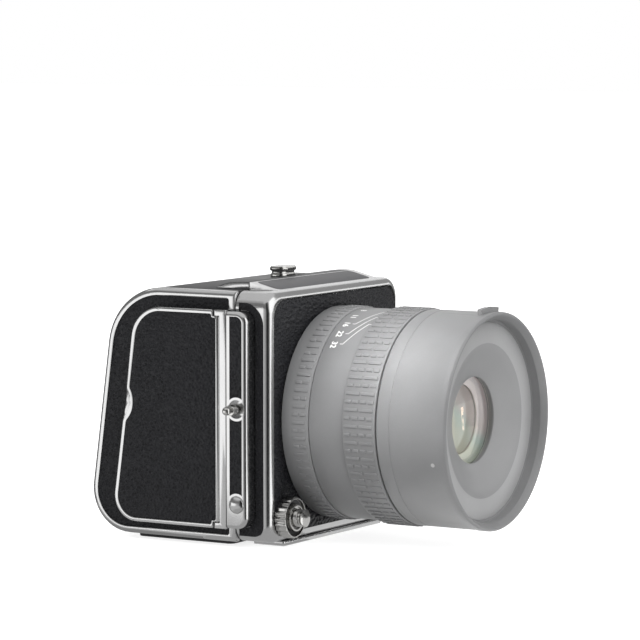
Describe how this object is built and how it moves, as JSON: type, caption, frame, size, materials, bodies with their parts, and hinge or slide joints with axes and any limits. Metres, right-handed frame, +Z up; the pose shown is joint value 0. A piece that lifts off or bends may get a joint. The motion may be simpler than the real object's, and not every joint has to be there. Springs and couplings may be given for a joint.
{
  "type": "medium format digital camera",
  "caption": "Box-shaped camera: slim bright-edged front body, leaning digital back with side flaps and tilting display, and a wide cylindrical lens with gripped rings.",
  "frame": {"origin": "mouth of the tripod socket, on the plane that the camera stands on", "axes": "+Z up, lens pointing along -Y, +X to the right when the camera is seen from the front"},
  "size_m": [0.1176, 0.1431, 0.097],
  "materials": {
    "satin_metal": "satin",
    "bright_steel": "polished",
    "screw_steel": "satin",
    "leatherette": "matte",
    "black_metal": "satin",
    "black_plastic": "matte",
    "button_plastic": "satin",
    "screen_glass": "gloss",
    "sensor_silicon": "gloss",
    "filter_glass": "gloss",
    "carrier_metal": "satin",
    "circuit_board": "satin",
    "battery_case": "satin",
    "card_case": "satin",
    "lens_grey": "satin",
    "bezel_grey": "matte",
    "lens_glass": "gloss"
  },
  "bodies": {
    "camera": {"front_frame": "satin_metal", "front_leatherette": "leatherette", "name_plate": "black_metal", "strap_plates": "satin_metal", "casing_leatherette": "leatherette", "strap_lugs": "bright_steel", "lens_mount_ring": "bright_steel", "base_plate": "satin_metal", "tripod_bush": "bright_steel", "case_screws": "screw_steel", "shutter_collar": "bright_steel", "back_shell": "black_metal", "edge_trims": "satin_metal", "right_side_plate": "satin_metal", "left_side_plate": "satin_metal", "back_hump": "satin_metal", "foot_plate": "black_metal", "sensor_plate": "black_metal", "sensor_carrier": "carrier_metal", "sensor_chip": "sensor_silicon", "sensor_glass": "filter_glass", "main_board": "circuit_board", "battery_bay": "black_plastic", "battery": "battery_case", "memory_card": "card_case", "flap_pins": "bright_steel", "port_block": "black_plastic", "display_tray": "black_plastic", "display_pin": "bright_steel", "button_bar": "black_plastic", "lens_bayonet": "bright_steel", "lens_barrel": "lens_grey", "front_barrel": "lens_grey", "front_bezel": "bezel_grey", "lens_cell": "black_plastic", "front_element": "lens_glass", "iris": "black_plastic", "rear_element": "lens_glass"},
    "battery_door": {"battery_door": "satin_metal", "battery_door_leatherette": "leatherette"},
    "port_cover": {"port_cover": "satin_metal", "port_cover_leatherette": "leatherette"},
    "display": {"display_frame": "black_plastic", "display_glass": "screen_glass"},
    "control_wheel": {"control_wheel": "satin_metal"},
    "shutter_button": {"shutter_button": "bright_steel"},
    "lens_release_button": {"lens_release_button": "bright_steel"},
    "lens_lock_pin": {"lens_lock_pin": "bright_steel"},
    "release_slider": {"release_slider": "bright_steel"},
    "control_ring": {"control_ring": "lens_grey"},
    "focus_sleeve": {"focus_sleeve": "lens_grey"},
    "focus_ring": {"focus_ring": "lens_grey"},
    "focus_group": {"focus_cell": "carrier_metal", "focus_element": "lens_glass"},
    "menu_button_1": {"menu_button_1": "button_plastic"},
    "menu_button_2": {"menu_button_2": "button_plastic"},
    "menu_button_3": {"menu_button_3": "button_plastic"},
    "menu_button_4": {"menu_button_4": "button_plastic"},
    "menu_button_5": {"menu_button_5": "button_plastic"}
  },
  "joints": [
    {"name": "battery_door_hinge", "type": "hinge", "parent": "camera", "child": "battery_door", "pos_m": [-0.0503, 0.0105, 0.045], "axis": [0, 0, 1], "range_deg": [0, 90]},
    {"name": "port_cover_hinge", "type": "hinge", "parent": "camera", "child": "port_cover", "pos_m": [0.0493, 0.0105, 0.045], "axis": [0, 0, -1], "range_deg": [0, 90]},
    {"name": "display_tilt", "type": "hinge", "parent": "camera", "child": "display", "pos_m": [0, 0.0593, 0.07513], "axis": [1, 0, 0], "range_deg": [0, 90]},
    {"name": "control_wheel_turn", "type": "hinge", "parent": "camera", "child": "control_wheel", "pos_m": [-0.03543, 0, 0.01099], "axis": [0, -1, 0], "continuous": true},
    {"name": "shutter_press", "type": "slide", "parent": "camera", "child": "shutter_button", "axis": [0, 1, 0], "range_m": [0, 0.0012], "stiffness_N_per_m": 800},
    {"name": "lens_release_press", "type": "slide", "parent": "camera", "child": "lens_release_button", "axis": [1, 0, 0], "range_m": [0, 0.0012], "stiffness_N_per_m": 800},
    {"name": "lock_pin_draw", "type": "slide", "parent": "camera", "child": "lens_lock_pin", "axis": [0, 1, 0], "range_m": [0, 0.0012]},
    {"name": "release_slider_slide", "type": "slide", "parent": "camera", "child": "release_slider", "axis": [1, 0, 0], "range_m": [0, 0.005], "stiffness_N_per_m": 200},
    {"name": "control_ring_turn", "type": "hinge", "parent": "camera", "child": "control_ring", "pos_m": [0, -0.01, 0.0452], "axis": [0, -1, 0], "continuous": true},
    {"name": "focus_turn", "type": "hinge", "parent": "camera", "child": "focus_sleeve", "pos_m": [0, -0.04, 0.0452], "axis": [0, -1, 0], "range_deg": [-60, 60]},
    {"name": "focus_clutch", "type": "slide", "parent": "focus_sleeve", "child": "focus_ring", "axis": [0, 1, 0], "range_m": [0, 0.004]},
    {"name": "focus_group_slide", "type": "slide", "parent": "camera", "child": "focus_group", "axis": [0, -1, 0], "range_m": [-0.0025, 0.0025]},
    {"name": "menu_press_1", "type": "slide", "parent": "camera", "child": "menu_button_1", "axis": [0, -0.9911, -0.1328], "range_m": [0, 0.0005], "stiffness_N_per_m": 600},
    {"name": "menu_press_2", "type": "slide", "parent": "camera", "child": "menu_button_2", "axis": [0, -0.9911, -0.1328], "range_m": [0, 0.0005], "stiffness_N_per_m": 600},
    {"name": "menu_press_3", "type": "slide", "parent": "camera", "child": "menu_button_3", "axis": [0, -0.9911, -0.1328], "range_m": [0, 0.0005], "stiffness_N_per_m": 600},
    {"name": "menu_press_4", "type": "slide", "parent": "camera", "child": "menu_button_4", "axis": [0, -0.9911, -0.1328], "range_m": [0, 0.0005], "stiffness_N_per_m": 600},
    {"name": "menu_press_5", "type": "slide", "parent": "camera", "child": "menu_button_5", "axis": [0, -0.9911, -0.1328], "range_m": [0, 0.0005], "stiffness_N_per_m": 600}
  ],
  "couplings": [
    {"joint": "lock_pin_draw", "follows": "lens_release_press", "ratio": 1},
    {"joint": "focus_group_slide", "follows": "focus_turn", "m_per_rad": 0.002386}
  ]
}
